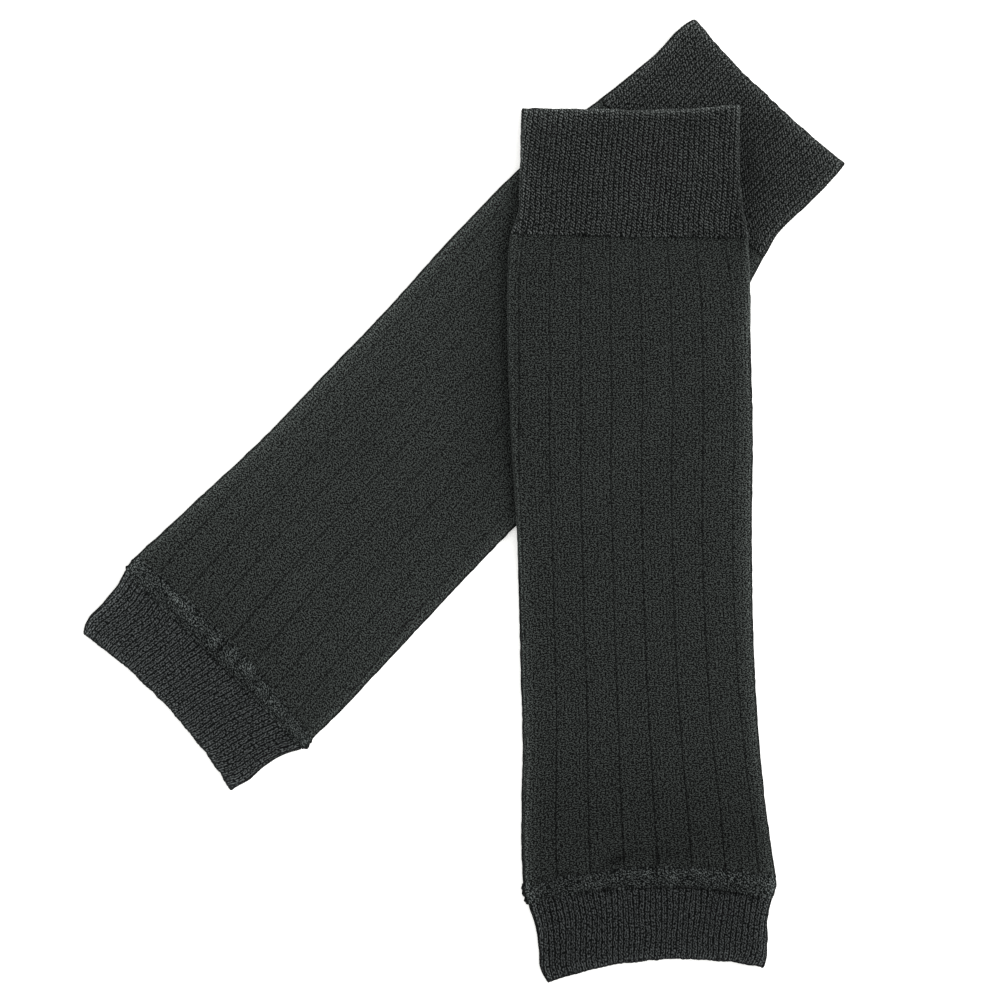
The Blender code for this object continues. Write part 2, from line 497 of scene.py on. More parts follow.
@dataclass(frozen=True)
class Ground:
    """What a leg warmer's frame is laid on: its place on the floor and what lifts it.

    Attributes:
        lean: Degrees that its axis is turned from the scene's Y axis, anticlockwise.
        hem_centre: Where the middle of its hem lies on the floor.
        sides: Where its left and its right side are across it.
        cuff_join: The line where its top cuff begins.
        under: The leg warmer that it lies across, where it doesn't lie on the floor all over.
    """

    lean: float
    hem_centre: tuple[float, float]
    sides: Profile
    cuff_join: CrossLine
    under: "Ground | None" = None

    RUN: ClassVar[float] = 18.0  # it climbs over the other one within this distance of its side
    LEAD: ClassVar[float] = 2.5  # and is at full height this far before it
    CUFF_RUN: ClassVar[float] = 12.0  # run of the climb from the other one's leg to its cuff

    def to_floor(self, across: Floats, along: Floats) -> tuple[Floats, Floats]:
        """Turn places of this frame into places on the floor."""
        lean = math.radians(self.lean)
        x = self.hem_centre[0] + across * math.cos(lean) - along * math.sin(lean)
        y = self.hem_centre[1] + across * math.sin(lean) + along * math.cos(lean)
        return x, y

    def from_floor(self, x: Floats, y: Floats) -> tuple[Floats, Floats]:
        """Turn places on the floor into places of this frame."""
        lean = math.radians(self.lean)
        x, y = x - self.hem_centre[0], y - self.hem_centre[1]
        return x * math.cos(lean) + y * math.sin(lean), y * math.cos(lean) - x * math.sin(lean)

    def lift(self, across: Floats, along: Floats) -> Floats:
        """How far the underside is lifted off the floor at places of this frame."""
        if self.under is None:
            return np.zeros_like(across)
        over, on = self.under.from_floor(*self.to_floor(across, along))
        left, right = self.under.sides.at(on, on)
        inside = np.minimum(over - left, right - over)
        climb = rise((inside + self.LEAD + self.RUN) / self.RUN)
        at_cuff = rise((on - self.under.cuff_join.at + self.CUFF_RUN + self.LEAD) / self.CUFF_RUN)
        thicker = TopCuff.height() - Leg.height()
        return climb * (Leg.height() + thicker * at_cuff + LYING_GAP)


@dataclass
class Tube:
    """One flattened tube of cloth, from a line across the leg warmer to the next one.

    Attributes:
        warmer: Its leg warmer.
        low: The line at its lower end.
        high: The line at its upper end.
        knit: How it is knitted.
    """

    warmer: "LegWarmer"
    low: CrossLine
    high: CrossLine
    knit: Knit

    PART: ClassVar[str]
    SLOT: ClassVar[str]
    OPEN: ClassVar[OpenEnd] = OpenEnd.NONE
    WALL: ClassVar[float] = 1.3
    LOW_RIM: ClassVar[Rim] = Rim(0.2, 2)
    HIGH_RIM: ClassVar[Rim] = Rim(0.2, 2)
    INNER_STEP: ClassVar[float] = 12.0  # between rows of the inside, which doesn't show
    INNER_SHARE: ClassVar[float] = 0.15  # room that the inside gets on the bake's map
    WANDER: ClassVar[Unevenness] = Unevenness(5, 2.5, 9.0)  # of wales, in shares of their sway
    LAY_STEPS: ClassVar[int] = 6  # each brings the crowded wales closer to their places
    FOLD_PATCHES: ClassVar[int] = 60  # patches of unevenness round the side folds
    EDGE_BUMP: ClassVar[float] = 0.16  # and how far they stand out or in
    LIP_LOOPS: ClassVar[Unevenness] = Unevenness(11, 1.2, 4.0)
    RAGGED: ClassVar[float] = 0.3  # unevenness of a lip from loop to loop, as a share of it
    LIP_PATCHES: ClassVar[int] = 16
    WAVED: ClassVar[float] = 0.35  # and from one of these longer patches to the next
    LIP_FADE: ClassVar[float] = 3.0  # how fast it fades where the cloth turns away at the sides
    SIDE_HIGHLIGHT: ClassVar[float] = 2.3  # painted highlight on the side folds, where they curve round into the light
    SIDE_FADE: ClassVar[float] = 1.9
    # Painted shade along the outline, where the cloth lies on the floor.
    TURNED: ClassVar[float] = 1.15  # the outermost loops have turned this far down, out of the light
    SIDE_SHADE: ClassVar[float] = 0.9
    END_SHADE: ClassVar[float] = 0.65
    EVEN: ClassVar[float] = 0.7  # how much the loops run into one another at the edges
    EVEN_FADE: ClassVar[float] = 1.6
    END_HIGHLIGHT: ClassVar[float] = 0.0  # painted highlight along the open end
    END_FADE: ClassVar[float] = 2.0
    END_RIBS: ClassVar[Unevenness] = Unevenness(13, 1.3, 60.0, 0.35)  # how far ribs end apart
    SCALLOP: ClassVar[float] = 1.5  # how far ribs shape the open end, as a share of their relief

    @classmethod
    def height(cls) -> float:
        """Height of the flattened tube: two layers and the slit between them."""
        return 2 * cls.WALL + SLIT

    @property
    def node(self) -> str:
        """The solid that this tube is seen in place of."""
        return f"{self.warmer.name}_{self.PART}"

    def heights(self, share: Floats) -> tuple[Floats, Floats]:
        """Height of the tube and how far its sides swell, at shares of its length."""
        return np.full_like(share, self.height()), np.zeros_like(share)

    def rows(self) -> Rows:
        """Lay out the rows of the mesh."""
        start, end = self.low.at + SEWN_GAP / 2, self.high.at - SEWN_GAP / 2
        step = self.knit.course_mm / self.knit.rows_per_course
        first, last = start + self.LOW_RIM.radius, end - self.HIGH_RIM.radius
        face = np.linspace(first, last, max(3, round((last - first) / step) + 1))
        inside = np.linspace(last, first, max(3, round((last - first) / self.INNER_STEP) + 1))[1:-1]
        short, depth, turn, lip = self.HIGH_RIM.rows(self.WALL)
        low_short, low_depth, low_turn, low_lip = (part[::-1] for part in self.LOW_RIM.rows(self.WALL))
        return Rows(
            place=np.concatenate([face, end - short, inside, start + low_short]) - self.low.at,
            depth=np.concatenate([0 * face, depth, 0 * inside + self.WALL, low_depth]),
            turn=np.concatenate([0 * face, turn, 0 * inside + 180, -low_turn]),
            lip=np.concatenate([0 * face, lip, 0 * inside, -low_lip]),
        )

    def from_open_end(self, place: Floats) -> Floats:
        """Distance of places along the tube from its open end."""
        if self.OPEN is OpenEnd.LOW:
            return np.clip(place, 0, None)
        if self.OPEN is OpenEnd.HIGH:
            return np.clip(self.high.at - self.low.at - place, 0, None)
        return np.full_like(place, np.inf)

    def way_round(self, wale: Floats, course: Floats, at: Floats, middle: Floats, girth: Floats) -> Floats:
        """Find where each wale lies on its way round the tube.

        Args:
            wale: Places round the tube, in wales.
            course: Places along the tube, in courses.
            at: The same along the leg warmer.
            middle: Where the middle of the tube is across the leg warmer.
            girth: The whole way round.

        Returns:
            Shares of the whole way, from the middle of the upper layer.
        """
        shift, crowding = self.warmer.wales.at(at, at)
        sway = self.knit.sway * self.WANDER.at(wale, course, self.knit.wales)
        start = (shift - middle) / girth
        target = (self.knit.lay(wale) + sway) / self.knit.wales
        target = target + start + crowding * np.sin(2 * math.pi * start) / (2 * math.pi)
        way = target
        for _ in range(self.LAY_STEPS):
            way = target - crowding * np.sin(2 * math.pi * way) / (2 * math.pi)
        return (way + HALF) % 1.0 - HALF

    def lap(self, rows: Rows, wale: Floats, course: Floats, facing_up: Floats) -> Floats:
        """Work out how far a lip laps over the next tube, and how far ribs end apart.

        Args:
            rows: The mesh's rows.
            wale: Places round the tube, in wales.
            course: Places along the tube, in courses.
            facing_up: 1 where the cloth faces up, -1 where it faces down.

        Returns:
            How far each place is drawn along.
        """
        wales = self.knit.wales
        lapped = rows.lip[:, None] * np.clip(self.LIP_FADE * facing_up, 0, 1)
        ragged = self.RAGGED * self.LIP_LOOPS.at(wale, course, wales)
        waves = Unevenness(seed=12, wales=wales / self.LIP_PATCHES, courses=9.0)
        waved = self.WAVED * waves.at(wale, course, wales)
        open_end = np.exp(-self.from_open_end(rows.place[:, None]) / self.END_FADE)
        return lapped * (1 + ragged + waved) + self.END_RIBS.at(wale, course, wales) * open_end

    def light(
        self, from_end: Floats, from_side: Floats, lift: Floats, facing_up: Floats
    ) -> tuple[Floats, Floats]:
        """Work out the painted light and shade on the cloth, and how even it is.

        Args:
            from_end: Distances from the open end.
            from_side: Distances from the nearer side fold.
            lift: Heights above the floor.
            facing_up: 1 where the cloth faces up, -1 where it faces down.

        Returns:
            The painted light and shade, as shares of the usual colour, and how far the loops run into one
            another.
        """
        from_side = np.clip(from_side, 0, None)
        # Painted highlights on the side folds and along the open end, and painted shade at the outline where
        # the cloth lies on the floor.
        light = 1 + self.SIDE_HIGHLIGHT * np.exp(-from_side / self.SIDE_FADE)
        light = light + self.END_HIGHLIGHT * np.exp(-from_end / self.END_FADE)
        on_floor = (1 - rise(lift / Leg.height())) * np.clip(1 + 2 * facing_up, 0, 1)
        for dark, distance in ((self.SIDE_SHADE, from_side), (self.END_SHADE, from_end)):
            light = light * (1 - on_floor * dark * np.exp(-((distance / self.TURNED) ** 4)))
        return light, self.EVEN * np.exp(-((np.minimum(from_side, from_end) / self.EVEN_FADE) ** 2))

    def points(self, rows: Rows, stations: Floats) -> tuple[Floats, Floats]:
        """Place the mesh's vertices.

        Args:
            rows: The mesh's rows.
            stations: The mesh's columns, in wales.

        Returns:
            The vertices in metres, and the painted light and shade and how even the cloth is there, by row
            and column.
        """
        ground = self.warmer.ground
        place, turn = rows.place[:, None], np.radians(rows.turn)[:, None]
        share = place / (self.high.at - self.low.at)
        at = self.low.at + place
        tilt = self.low.tilt + (self.high.tilt - self.low.tilt) * share
        bow = self.low.bow + (self.high.bow - self.low.bow) * share
        height, swell = self.heights(share)
        left, right = ground.sides.at(at - tilt + bow, at + tilt + bow)
        middle, half_width = (left + right) / 2, (right - left) / 2 + swell
        fold = height / 2
        flat = half_width - fold
        girth = 4 * flat + 2 * math.pi * fold

        # Each column goes out over the upper layer, round a side fold and back underneath.
        wale, course = stations[None, :], place / self.knit.course_mm
        way = self.way_round(wale, course, at, middle, girth)
        gone = np.abs(way) * girth
        bend = np.clip((gone - flat) / fold, 0, math.pi)
        facing_up = np.cos(bend)
        spine = np.where(gone < flat, gone, np.maximum(flat - (gone - flat - math.pi * fold), -flat))
        spine = np.where((gone >= flat) & (bend < math.pi), flat, spine)

        # The knit stands out from the face, and turns with it over the rims.
        relief = self.knit.relief(wale, course)
        bumps = Unevenness(seed=7, wales=self.knit.wales / self.FOLD_PATCHES, courses=2.3)
        bumps = bumps.at(wale, course, self.knit.wales)
        relief = relief + self.EDGE_BUMP * bumps * np.sin(bend) ** 2
        relief = np.where(facing_up < 0, np.minimum(relief, 0), relief)
        relief = relief * (1 + np.cos(turn)) / 2
        out = fold - rows.depth[:, None] + relief * np.cos(turn)
        across = middle + np.sign(way) * (spine + np.sin(bend) * out)
        up = fold + facing_up * out
        over = (across - middle) / half_width
        along = at + tilt * over + bow * over * over + self.SCALLOP * relief * np.sin(turn)
        along = along + self.lap(rows, wale, course, facing_up)

        # What is pressed, or painted with light and shade, goes by where the cloth lies, and so does what
        # lifts it.
        level = at + 0 * across
        for sag in self.warmer.sags:
            along = along - sag.spread(across, level, facing_up)
        for crease in self.warmer.creases:
            up = up + crease.press(across, level, facing_up)
        lift = ground.lift(across, along)
        from_side = half_width - np.abs(across - middle)
        light, even = self.light(self.from_open_end(place), from_side, lift, facing_up)
        for shade in self.warmer.painted_shades:
            light = light * (1 + shade.spread(across, level, facing_up))
        x, y = ground.to_floor(across, along)
        return np.stack([x, y, np.maximum(up, 0) + lift], axis=-1) * MM, np.stack([light, even], axis=-1)

    def mesh(self) -> bpy.types.Mesh:
        """Build the tube's mesh with its three maps."""
        rows, stations = self.rows(), self.knit.stations() - self.knit.wales // 2
        points, light = self.points(rows, stations)
        count, columns = points.shape[:2]
        mesh = bpy.data.meshes.new(f"{self.node}_knit")
        mesh.vertices.add(count * columns)
        mesh.vertices.foreach_set("co", points.ravel())
        row, column = (grid.ravel() for grid in np.mgrid[0:count, 0:columns])
        corners = [(row, column), (row, column + 1), (row + 1, column + 1), (row + 1, column)]
        loops = np.stack([(r % count) * columns + c % columns for r, c in corners], axis=1)
        mesh.loops.add(loops.size)
        mesh.loops.foreach_set("vertex_index", loops.ravel())
        mesh.polygons.add(len(loops))
        mesh.polygons.foreach_set("loop_start", np.arange(0, loops.size, 4))
        mesh.polygons.foreach_set("use_smooth", np.ones(len(loops), dtype=bool))
        mesh.update(calc_edges=True)

        # "Knit" counts wales and courses. "Light" holds the painted light and shade and how even the cloth
        # is.
        # "OFBake" spreads the whole tube over one square.
        steps = np.hypot(np.diff(rows.place, append=rows.place[0]), np.diff(rows.depth, append=0))
        path = np.concatenate([[0], np.cumsum(steps)])
        inside = np.abs(rows.turn) == 180
        room = np.concatenate([[0], np.cumsum(steps * np.where(inside, self.INNER_SHARE, 1))])
        ring = np.append(stations, stations[0] + self.knit.wales)
        maps = {
            "Knit": (ring, (rows.place[0] + path) / self.knit.course_mm),
            "OFBake": ((ring - ring[0]) / self.knit.wales, room / room[-1]),
        }
        uvs = {
            name: np.stack([np.stack([u[c], v[r]], axis=-1) for r, c in corners], axis=1)
            for name, (u, v) in maps.items()
        }
        uvs["Light"] = light.reshape(-1, 2)[loops]
        for name, uv in uvs.items():
            mesh.uv_layers.new(name=name).uv.foreach_set("vector", uv.ravel())
        mesh.uv_layers.active = mesh.uv_layers["Knit"]
        mesh.validate()
        return mesh

    def build(self, finish: "KnittedYarn") -> bpy.types.Object:
        """Build the tube, dress it, and hide the solid that it stands for.

        Args:
            finish: The tube's finish.

        Returns:
            The tube.
        """
        cloth = bpy.data.objects.new(f"{self.node}_knit", self.mesh())
        bpy.context.scene.collection.objects.link(cloth)
        cloth.data.materials.append(finish.material(self))
        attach(cloth, BODY)
        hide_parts(self.node)
        LOG.info("%s: %d vertices", cloth.name, len(cloth.data.vertices))
        return cloth


class TopCuff(Tube):
    """The rib welt at the top, double because it is turned down inside."""

    PART = "top_cuff"
    SLOT = "turned_welt_rib"
    OPEN = OpenEnd.HIGH
    WALL = 1.8
    LOW_RIM = Rim(0.2, 2, lip=0.5)
    HIGH_RIM = Rim(0.9, 5)
    END_HIGHLIGHT = 2.1
    END_FADE = 1.9
    END_SHADE = 0.6
    SCALLOP = 0.5
    RAGGED = 0.6


class Leg(Tube):
    """The long plain tube with its sunk wales."""

    PART = "leg"
    SLOT = "leg_rib"


class AnkleCuff(Tube):
    """The rib cuff that pulls in at the ankle."""

    PART = "ankle_cuff"
    SLOT = "ankle_rib"
    OPEN = OpenEnd.LOW
    WALL = 1.5
    LOW_RIM = Rim(0.75, 4)
    HIGH_RIM = Rim(0.7, 4)
    END_HIGHLIGHT = 1.2


class AnkleSeam(Tube):
    """The roll where the leg and the ankle cuff are linked."""

    PART = "ankle_seam"
    SLOT = "linked_seam"
    WALL = 1.5
    LOW_RIM = Rim(0.12, 2, lip=0.6)
    HIGH_RIM = Rim(0.12, 2, lip=0.65)
    PROUD: ClassVar[float] = 1.1  # how far the roll stands above the leg
    SWELL: ClassVar[float] = 0.4  # how far it stands out at each side
    SHARES: ClassVar[Floats] = np.array([0.0, 0.1, 0.25, 0.45, 0.65, 0.85, 1.0])  # of its breadth
    ROLL: ClassVar[Floats] = np.array([0.65, 0.85, 1.0, 1.0, 0.85, 0.55, 0.35])  # its rise there

    def heights(self, share: Floats) -> tuple[Floats, Floats]:
        """Height of the roll and how far its sides swell, at shares of its breadth."""
        roll = through_rows(self.SHARES, self.ROLL, share)
        return Leg.height() + self.PROUD * roll, self.SWELL * roll


# ---------------------------------------------------------------- finishes
@dataclass(frozen=True)
class KnittedYarn:
    """Carded cotton yarn, dyed charcoal and knitted: matt, with light loops and painted shade in its pits.

    Attributes:
        name: Name of the finish.
        pit: Painted shade between loops, where light hardly reaches the yarn.
        yarn: Colour of the yarn's body.
        fibre: Colour of the loose fibres, partly a painted highlight where they catch the light.
        tone: How light all three are beside what they say.
        fuzz: How light the fibres are beyond that.
        bump: Height of its loops, in millimetres.
        slant: How far a loop runs along its wale on the way across it, in courses.
        gap: Distance from the middle of a wale at which the gap beside it begins, in wales.
        gap_level: Least and most yarn that shows in that gap.
        cleft: How much yarn shows down the middle of a wale, between the two legs of its loops.
        dip_level: How much yarn shows between a loop and the next.
        chance: Least and most light on a loop, as shares of the usual.
        grain: Least and most light on a tuft of fibre, as shares of the usual.
        tuft: Size of a tuft across and along its wale, in millimetres.
        step: How far a wale's loops are out of step with its neighbour's, in courses.
        warp: How far loops lie from their places, in wales.
    """

    name: str
    pit: str
    yarn: str
    fibre: str
    tone: float
    fuzz: float
    bump: float
    slant: float
    gap: float
    gap_level: tuple[float, float]
    cleft: float
    dip_level: float
    chance: tuple[float, float]
    grain: tuple[float, float]
    tuft: tuple[float, float]
    step: float
    warp: float

    ROUGHNESS: ClassVar[float] = 0.95  # cotton fibres scatter light in all directions
    SPECULAR: ClassVar[float] = 0.05
    SHEEN: ClassVar[float] = 0.03  # fibre ends stand up and show at the sides
    SHEEN_ROUGHNESS: ClassVar[float] = 0.4
    LEG: ClassVar[float] = 0.22  # the legs of a loop lie this far from the middle of its wale
    LOOP_END: ClassVar[tuple[float, float]] = (0.1, 0.42)  # courses from its middle where it dips
    WARP_SCALE: ClassVar[float] = 0.7  # the warp turns about once in this many loops
    NOISE_SPAN: ClassVar[float] = 4.0  # the warp's noise mostly keeps to a quarter each way
    TUFTS: ClassVar[tuple[float, float]] = (0.25, 0.75)  # the usual range of the tufts' noise
    PIT_LEVEL: ClassVar[float] = 0.05  # below this level of yarn there is only the pit's painted shade

    def sides(self, node: Maker, wale: Socket) -> tuple[Socket, Socket]:
        """Measure from the middle of a wale, to the right and to either side."""
        off = node("Math", {0: wale, 1: HALF, 2: -HALF}, operation="WRAP")
        return off, node("Math", {0: off}, operation="ABSOLUTE")

    def sunk(self, node: Maker, wale: Socket, course: Socket) -> Socket | None:
        """Paint shade in sunk wales: rib has none but those between its cords."""
        return None

    def loops(self, node: Maker, wale: Socket, course: Socket) -> tuple[Socket, Socket]:
        """Draw loops that dip between each other and fade into the gap beside the wale.

        Args:
            node: What adds a node to the material.
            wale: Place round the tube, in wales.
            course: Place along the tube, in courses.

        Returns:
            A level from 0 in a pit to 1 on a loop, and a vector that is the same all over a loop.
        """
        lean, side = self.sides(node, wale)
        half = node("Math", {0: wale, 1: 2.0}, operation="MULTIPLY")
        half = node("Math", {0: half}, operation="FLOOR")
        out = node("TexWhiteNoise", {"W": half}, "Value", noise_dimensions="1D")
        stepped = node("Math", {0: out, 1: self.step, 2: course}, operation="MULTIPLY_ADD")
        phase = node("Math", {0: lean, 1: self.slant, 2: stepped}, operation="MULTIPLY_ADD")

        # Between two wales lies a ladder of gaps, two to a course, each filled more or less.
        beside = node("Math", {0: wale}, operation="FLOOR")
        rung = node("Math", {0: course, 1: 2.0}, operation="MULTIPLY")
        rung = node("Math", {0: rung}, operation="FLOOR")
        hole = node("CombineXYZ", {"X": beside, "Y": rung})
        filled = node("TexWhiteNoise", {"Vector": hole}, "Value", noise_dimensions="2D")
        least, most = self.gap_level
        filled = node("MapRange", {"Value": filled, "To Min": least, "To Max": most})
        cord = node(
            "MapRange",
            {"Value": side, "From Min": self.gap, "From Max": HALF, "To Min": 1.0, "To Max": filled},
            interpolation_type="SMOOTHSTEP",
        )
        legs = node(
            "MapRange",
            {"Value": side, "From Max": self.LEG, "To Min": self.cleft, "To Max": 1.0},
            interpolation_type="SMOOTHSTEP",
        )
        cord = node("Math", {0: cord, 1: legs}, operation="MULTIPLY")
        dip = node("Math", {0: phase, 1: HALF}, operation="PINGPONG")
        near, far = self.LOOP_END
        loop = node(
            "MapRange",
            {"Value": dip, "From Min": near, "From Max": far, "To Min": 1.0, "To Max": self.dip_level},
            interpolation_type="SMOOTHSTEP",
        )
        number = node("Math", {0: phase}, operation="ROUND")
        cell = node("CombineXYZ", {"X": half, "Y": number})
        return node("Math", {0: cord, 1: loop}, operation="MULTIPLY"), cell

    def level(self, node: Maker, tube: Tube) -> Socket:
        """Draw the knit's level at each place: painted shade in its pits, and the tone of its loops and
        tufts.

        Args:
            node: What adds a node to the material.
            tube: The tube that is dressed.

        Returns:
            A level from 0 in a pit to 1 on a loop's loose fibres.
        """
        knit = node("UVMap", out="UV", uv_map="Knit")
        wander = {"Vector": knit, "Scale": self.WARP_SCALE, "Detail": 0.0}
        wander = node("TexNoise", wander, "Color", noise_dimensions="2D")
        wander = node("VectorMath", {0: wander, 1: (HALF,) * 3}, "Vector", operation="SUBTRACT")
        warp = (self.NOISE_SPAN * self.warp, self.NOISE_SPAN * self.warp, 0.0)
        warped = node("VectorMath", {0: wander, 1: warp, 2: knit}, "Vector", operation="MULTIPLY_ADD")
        parts = node("SeparateXYZ", {0: warped}).node.outputs
        level, cell = self.loops(node, parts["X"], parts["Y"])

        # Each loop has a light of its own, and so has each tuft of its fibres.
        least, most = self.chance
        lit = node("TexWhiteNoise", {"Vector": cell}, "Value", noise_dimensions="2D")
        lit = node("MapRange", {"Value": lit, "To Min": least, "To Max": most})
        level = node("Math", {0: level, 1: lit}, operation="MULTIPLY")
        size = (tube.knit.wale_mm / self.tuft[0], tube.knit.course_mm / self.tuft[1], 0.0)
        tufts = node("VectorMath", {0: knit, 1: size}, "Vector", operation="MULTIPLY")
        grain = {"Vector": tufts, "Scale": 1.0, "Detail": 0.0}
        grain = node("TexNoise", grain, "Fac", noise_dimensions="2D")
        (low, high), (least, most) = self.TUFTS, self.grain
        rough = {"Value": grain, "From Min": low, "From Max": high, "To Min": least, "To Max": most}
        level = node("Math", {0: level, 1: node("MapRange", rough)}, operation="MULTIPLY")
        straight = node("SeparateXYZ", {0: knit}).node.outputs
        sunk = self.sunk(node, straight["X"], straight["Y"])
        if sunk is None:
            return level
        return node("Math", {0: level, 1: sunk}, operation="MULTIPLY")

    def material(self, tube: Tube) -> bpy.types.Material:
        """Make the finish's material for a tube.

        Args:
            tube: The tube that is dressed.

        Returns:
            The material.
        """
        material = bpy.data.materials.new(f"{tube.warmer.name}_{self.name}")
        material.use_nodes = True
        tree = material.node_tree
        node = partial(add_node, tree)
        light = node("UVMap", out="UV", uv_map="Light")
        light = node("SeparateXYZ", {0: light}).node.outputs
        level = node("Mix", {0: light["Y"], 2: self.level(node, tube), 3: HALF})
        # The ramp runs from the pit's painted shade, where little yarn shows, through the yarn to the
        # fibres, which are partly a painted highlight.
        colour = node("ValToRGB", {"Fac": level})
        stops = colour.node.color_ramp.elements
        stops[0].position, stops[0].color = self.PIT_LEVEL, linear(self.pit, self.tone)
        stops[1].position, stops[1].color = 1.0, linear(self.fibre, self.tone * self.fuzz)
        stops.new(HALF).color = linear(self.yarn, self.tone)
        bump = node("Bump", {"Height": level, "Distance": self.bump * MM, "Strength": 1.0})
        # The Light map's painted light and shade scales the colour.
        colour = node("VectorMath", {0: colour, "Scale": light["X"]}, "Vector", operation="SCALE")
        looks = {
            "Base Color": colour,
            "Normal": bump,
            "Roughness": self.ROUGHNESS,
            "Specular IOR Level": self.SPECULAR,
            "Sheen Weight": self.SHEEN,
            "Sheen Roughness": self.SHEEN_ROUGHNESS,
        }
        feed(tree.nodes["Principled BSDF"], looks)
        return material


@dataclass(frozen=True)
class PlainKnitYarn(KnittedYarn):
    """The same yarn knitted plain: fine V-shaped loops, with painted shade along each sunk wale.

    Attributes:
        repeat: Wales in a repeat, the sunk one among them.
        channel: Half the breadth of the sunk wale, in wales.
        channel_level: Least and most yarn that shows at the bottom of it, where the rest is painted shade.
        deeper: How much darker its painted shade is at the tube's lower end, where the wale is pressed
            deeper.
        deep_courses: Courses over which that fades away.
    """

    repeat: int
    channel: float
    channel_level: tuple[float, float]
    deeper: float
    deep_courses: float

    BEAD_SCALE: ClassVar[float] = 0.45  # beads of light along a sunk wale, in each course
    BEADS: ClassVar[tuple[float, float]] = (0.3, 0.7)  # the usual range of their noise
    CHANNEL_FLOOR: ClassVar[float] = 0.3  # share of the sunk wale that is at its darkest

    def sides(self, node: Maker, wale: Socket) -> tuple[Socket, Socket]:
        """Measure to either side for both, so that loops lean both ways: a V."""
        side = node("Math", {0: wale, 1: HALF}, operation="PINGPONG")
        return side, side

    def sunk(self, node: Maker, wale: Socket, course: Socket) -> Socket:
        """Paint shade in the sunk wales, darker on some of their loops than on others.

        Args:
            node: What adds a node to the material.
            wale: Place round the tube, in wales.
            course: Place along the tube, in courses.

        Returns:
            The share of light that is left.
        """
        off_sunk = node("Math", {0: wale, 1: self.repeat / 2}, operation="PINGPONG")
        place = node("CombineXYZ", {"X": wale, "Y": course})
        beads = {"Vector": place, "Scale": self.BEAD_SCALE, "Detail": 2.0}
        beads = node("TexNoise", beads, noise_dimensions="2D")
        (low, high), (least, most) = self.BEADS, self.channel_level
        beads = {"Value": beads, "From Min": low, "From Max": high, "To Min": least, "To Max": most}
        press = {"Value": course, "From Max": self.deep_courses, "To Min": self.deeper, "To Max": 0.0}
        beads = {0: node("MapRange", beads), 1: node("MapRange", press)}
        floor = {
            "Value": off_sunk,
            "From Min": self.CHANNEL_FLOOR * self.channel,
            "From Max": self.channel,
            "To Min": node("Math", beads, operation="SUBTRACT"),
            "To Max": 1.0,
        }
        return node("MapRange", floor, interpolation_type="SMOOTHSTEP")


# ---------------------------------------------------------------- the two leg warmers
# Gauges of the knits, the same in both.
RIB_TOP = dict(wale_mm=2.16, course_mm=1.35, rows_per_course=3, sway=0.1, groove=0.42, loop=0.12)
RIB_ANKLE = dict(wale_mm=2.27, course_mm=1.15, rows_per_course=3, sway=0.22, groove=0.2, loop=0.06)
SEAM_ROLL = dict(wales=144, wale_mm=1.5, course_mm=1.2, rows_per_course=4, sway=0.3, groove=0.25, loop=0.22)
PLAIN = dict(wales=144, wale_mm=1.44, course_mm=1.0, rows_per_course=0.64, sway=0.12, groove=0.12, loop=0.06)
SUNK_WALE = dict(repeat=9, narrow=0.35, channel=0.1, channel_breadth=0.5)


@dataclass
class LegWarmer:
    """One leg warmer.

    Attributes:
        name: Its name, front or back.
        ground: Where it lies.
        hem: The line of its hem.
        seam_low: The lower edge of its ankle seam.
        seam_high: The upper edge of its ankle seam.
        top: The line of its top edge.
        wales: How far across the middle wale of the upper layer lies, and how much closer than
            even its wales are, which are as much wider apart underneath.
        ribs: Ribs round its top cuff and its ankle cuff.
        lumps: Lumps of its ankle seam, as in the seam's roll.
        creases: Troughs and ridges pressed into it.
        painted_shades: Its spots of painted shade and painted light.
        sags: Places where its open ends sag.
        finishes: The finishes of its top cuff, leg, ankle seam and ankle cuff.
        seed: Seed of its unevenness.
    """

    name: str
    ground: Ground
    hem: CrossLine
    seam_low: CrossLine
    seam_high: CrossLine
    top: CrossLine
    wales: Profile
    ribs: tuple[int, int]
    lumps: tuple[Row, ...]
    creases: tuple[Crease, ...]
    painted_shades: tuple[PaintedShade, ...]
    sags: tuple[Sag, ...]
    finishes: tuple[KnittedYarn, ...]
    seed: int

    SEED_STEP: ClassVar[int] = 10  # from one tube's unevenness to the next one's

    def build(self) -> None:
        """Build its four tubes, each dressed in its finish."""
        top_ribs, ankle_ribs = self.ribs
        seeds = [self.seed + self.SEED_STEP * tube for tube in range(4)]
        knits = (
            RibKnit(wales=top_ribs, seed=seeds[0], **RIB_TOP),
            SunkWaleKnit(seed=seeds[1], **PLAIN, **SUNK_WALE),
            LoopRoll(lumps=self.lumps, seed=seeds[2], **SEAM_ROLL),
            RibKnit(wales=ankle_ribs, seed=seeds[3], **RIB_ANKLE),
        )
        lines = (self.top, self.ground.cuff_join, self.seam_high, self.seam_low, self.hem)
        kinds = (TopCuff, Leg, AnkleSeam, AnkleCuff)
        tubes = [
            kind(self, low, high, knit) for kind, low, high, knit in zip(kinds, lines[1:], lines, knits)
        ]
        cuff, leg, seam, ankle = (tube.build(finish) for tube, finish in zip(tubes, self.finishes))


